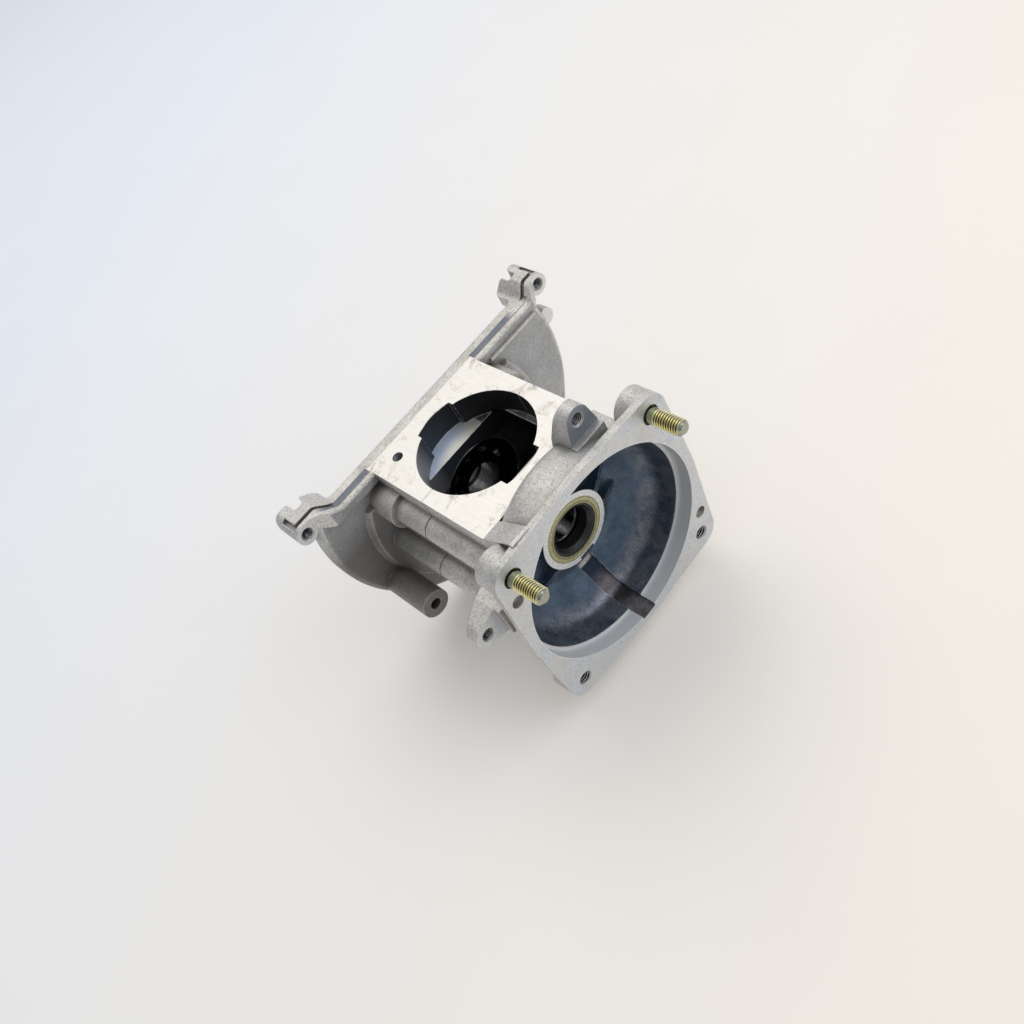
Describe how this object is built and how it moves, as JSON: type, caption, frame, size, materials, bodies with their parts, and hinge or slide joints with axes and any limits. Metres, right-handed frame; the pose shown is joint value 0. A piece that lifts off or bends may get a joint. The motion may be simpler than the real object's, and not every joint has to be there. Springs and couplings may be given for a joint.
{
  "type": "crankcase",
  "caption": "Two-piece die-cast crankcase of a small two-stroke engine, with clutch bell and flange, milled cylinder deck, fan plate, shaft seals and ball bearings.",
  "frame": {"origin": "on the crank axis at the parting plane, under the centre of the cylinder opening", "axes": "+Y along the crank towards the fan side, +Z along the cylinder, +X to the right seen from the clutch"},
  "size_m": [0.1381, 0.1125, 0.1052],
  "materials": {
    "cast_aluminium": "die cast, machined faces",
    "gasket_paper": "matt fibre paper",
    "yellow_zinc": "yellow zinc plated",
    "bearing_steel": "ground",
    "cage_steel": "pressed",
    "ball_steel": "polished",
    "seal_metal": "olive passivated",
    "seal_rubber": "moulded",
    "spring_steel": "drawn wire",
    "screw_steel": "zinc plated",
    "dowel_steel": "ground"
  },
  "bodies": {
    "case": {"clutch_side_case": "cast_aluminium", "fan_side_case": "cast_aluminium", "case_gasket": "gasket_paper", "stud_left": "yellow_zinc", "stud_right": "yellow_zinc", "front_bearing_outer_ring": "bearing_steel", "front_seal_case": "seal_metal", "front_seal_lip": "seal_rubber", "front_seal_spring": "spring_steel", "rear_bearing_outer_ring": "bearing_steel", "rear_seal_case": "seal_metal", "rear_seal_lip": "seal_rubber", "rear_seal_spring": "spring_steel", "case_screw_upper_left": "screw_steel", "case_screw_upper_right": "screw_steel", "case_screw_lower_left": "screw_steel", "case_screw_lower_right": "screw_steel", "dowel_sleeve_left": "dowel_steel", "dowel_sleeve_right": "dowel_steel"},
    "front_inner_ring": {"front_bearing_inner_ring": "bearing_steel"},
    "front_ball_set": {"front_bearing_cage": "cage_steel", "front_bearing_balls": "ball_steel"},
    "rear_inner_ring": {"rear_bearing_inner_ring": "bearing_steel"},
    "rear_ball_set": {"rear_bearing_cage": "cage_steel", "rear_bearing_balls": "ball_steel"}
  },
  "joints": [
    {"name": "front_inner_ring_spin", "type": "hinge", "parent": "case", "child": "front_inner_ring", "pos_m": [0, -0.0205, 0], "axis": [0, 1, 0], "continuous": true},
    {"name": "front_ball_set_spin", "type": "hinge", "parent": "case", "child": "front_ball_set", "pos_m": [0, -0.0205, 0], "axis": [0, 1, 0], "continuous": true},
    {"name": "rear_inner_ring_spin", "type": "hinge", "parent": "case", "child": "rear_inner_ring", "pos_m": [0, 0.0205, 0], "axis": [0, 1, 0], "continuous": true},
    {"name": "rear_ball_set_spin", "type": "hinge", "parent": "case", "child": "rear_ball_set", "pos_m": [0, 0.0205, 0], "axis": [0, 1, 0], "continuous": true}
  ],
  "couplings": [
    {"joint": "front_ball_set_spin", "follows": "front_inner_ring_spin", "ratio": 0.381},
    {"joint": "rear_ball_set_spin", "follows": "rear_inner_ring_spin", "ratio": 0.381}
  ]
}
